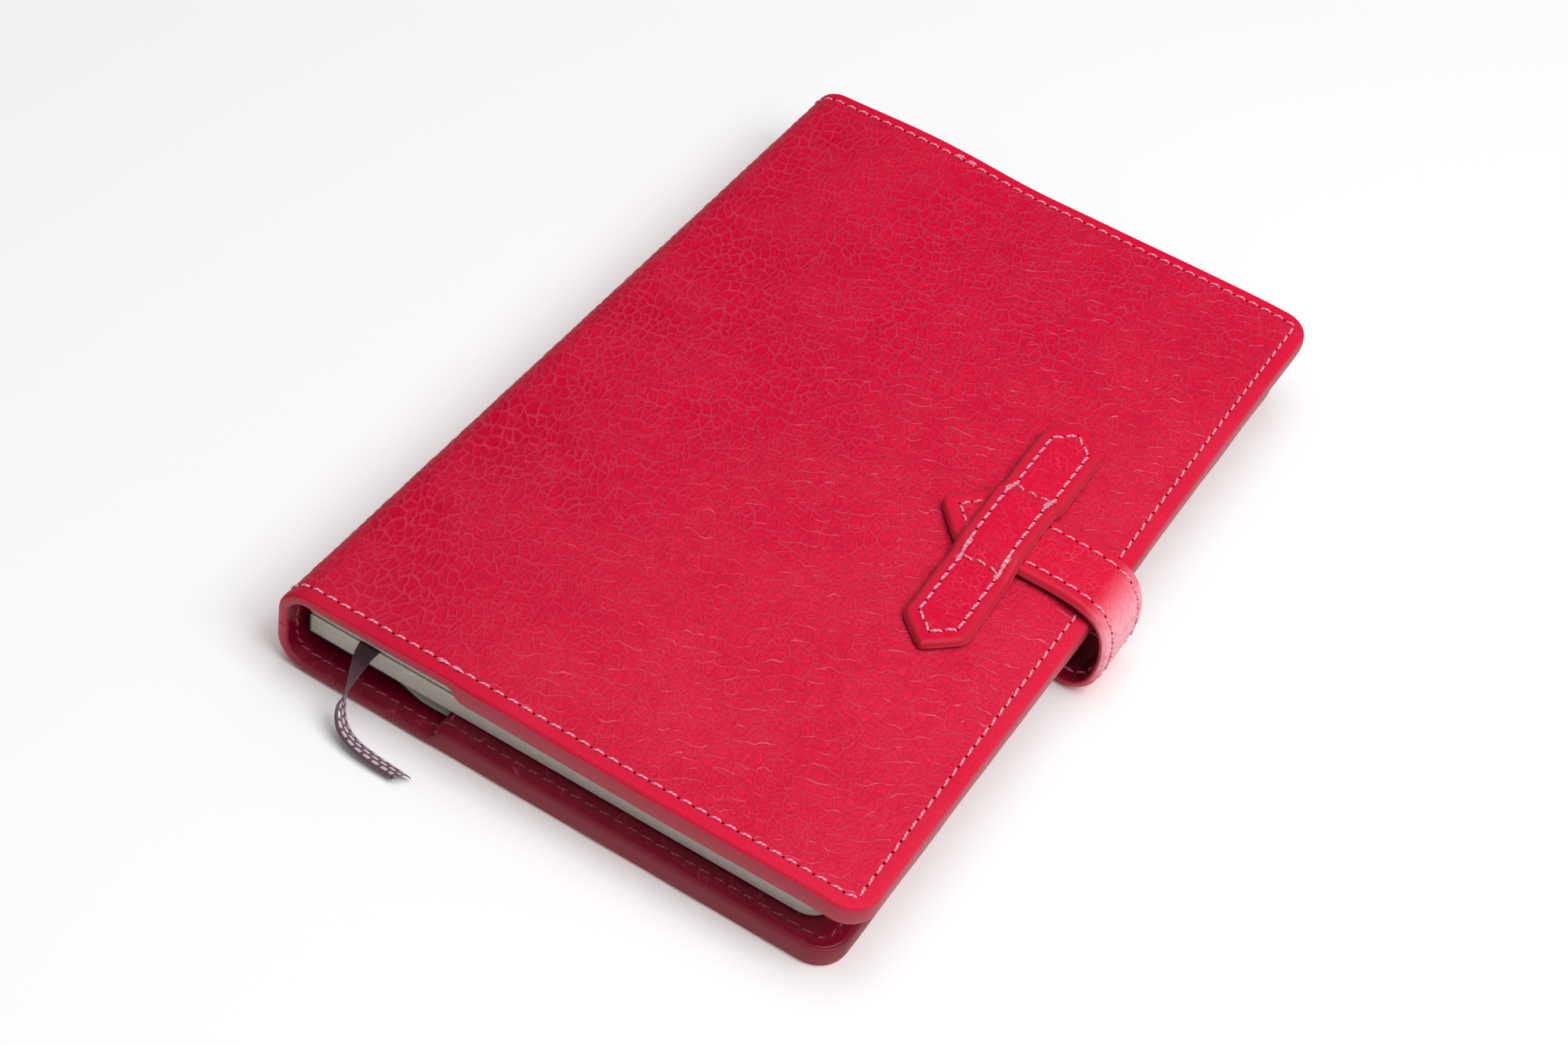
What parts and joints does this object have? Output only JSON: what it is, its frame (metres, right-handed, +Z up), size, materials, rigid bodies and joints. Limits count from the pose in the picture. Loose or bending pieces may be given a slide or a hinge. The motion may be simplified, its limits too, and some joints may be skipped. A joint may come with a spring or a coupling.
{
  "type": "pocket notebook",
  "caption": "Refillable pocket notebook: stitched leather cover with a strap and keeper round a sewn refill with a ribbon marker.",
  "frame": {"origin": "on the back cover's outer face, half-way between the spine and the front's fore edge and between tail and head", "axes": "+X from the spine to the fore edge, +Y from the tail to the head, +Z up through the front cover"},
  "size_m": [0.0972, 0.1578, 0.0184],
  "materials": {
    "leather": "pebbled grain, satin",
    "lining": "smooth, glossy",
    "edge_paint": "smooth, satin edge paint",
    "thread": "twisted sewing thread",
    "card": "coated, matte",
    "cloth": "open weave, glued",
    "paper": "uncoated",
    "satin": "woven satin ribbon"
  },
  "bodies": {
    "back": {"back_leather": "leather", "back_lining": "lining", "back_sleeve": "lining", "strap_root": "leather"},
    "spine": {"spine_leather": "leather", "spine_lining": "lining"},
    "front": {"front_leather": "leather", "front_lining": "lining", "front_sleeve": "lining", "keeper": "leather"},
    "refill": {"refill_back_cover": "card", "refill_spine_lower": "card", "spine_cloth_lower": "cloth", "back_endpaper": "paper", "signature_1": "paper", "signature_2": "paper", "signature_3": "paper", "signature_4": "paper", "ribbon": "satin", "ribbon_tucked": "satin"},
    "front_pages": {"refill_front_cover": "card", "refill_spine_upper": "card", "spine_cloth_upper": "cloth", "front_endpaper": "paper", "signature_5": "paper", "signature_6": "paper", "signature_7": "paper", "signature_8": "paper"},
    "strap_bend": {"strap_bend_lower": "leather", "strap_bend_upper": "leather"},
    "strap_tongue": {"strap_tongue_leather": "leather", "strap_tongue_lining": "lining"}
  },
  "joints": [
    {"name": "opening", "type": "slide", "parent": "back", "child": "refill", "axis": [-1, 0, 0], "range_m": [0, 0.0045]},
    {"name": "cover", "type": "hinge", "parent": "back", "child": "spine", "pos_m": [-0.04425, 0, 0.0023], "axis": [0, -1, 0], "range_deg": [0, 89.8], "deforming": ["spine_leather", "spine_lining"]},
    {"name": "front_fold", "type": "hinge", "parent": "spine", "child": "front", "pos_m": [-0.04425, 0, 0.0127], "axis": [0, -1, 0], "range_deg": [0, 89.8]},
    {"name": "block_opening", "type": "hinge", "parent": "refill", "child": "front_pages", "pos_m": [-0.04415, 0, 0.0075], "axis": [0, -1, 0], "range_deg": [0, 178.6]},
    {"name": "strap", "type": "hinge", "parent": "back", "child": "strap_bend", "pos_m": [0.04933, 0, 0.0019], "axis": [0, 1, 0], "range_deg": [0, 90]},
    {"name": "strap_straighten", "type": "hinge", "parent": "strap_bend", "child": "strap_tongue", "pos_m": [0.04933, 0, 0.01515], "axis": [0, 1, 0], "range_deg": [0, 91], "deforming": ["strap_tongue_leather", "strap_tongue_lining"]}
  ],
  "couplings": [
    {"joint": "cover", "follows": "opening", "rad_per_m": 344.41},
    {"joint": "front_fold", "follows": "opening", "rad_per_m": 344.41},
    {"joint": "block_opening", "follows": "opening", "rad_per_m": 688.82},
    {"joint": "strap_straighten", "follows": "strap", "ratio": 1}
  ]
}
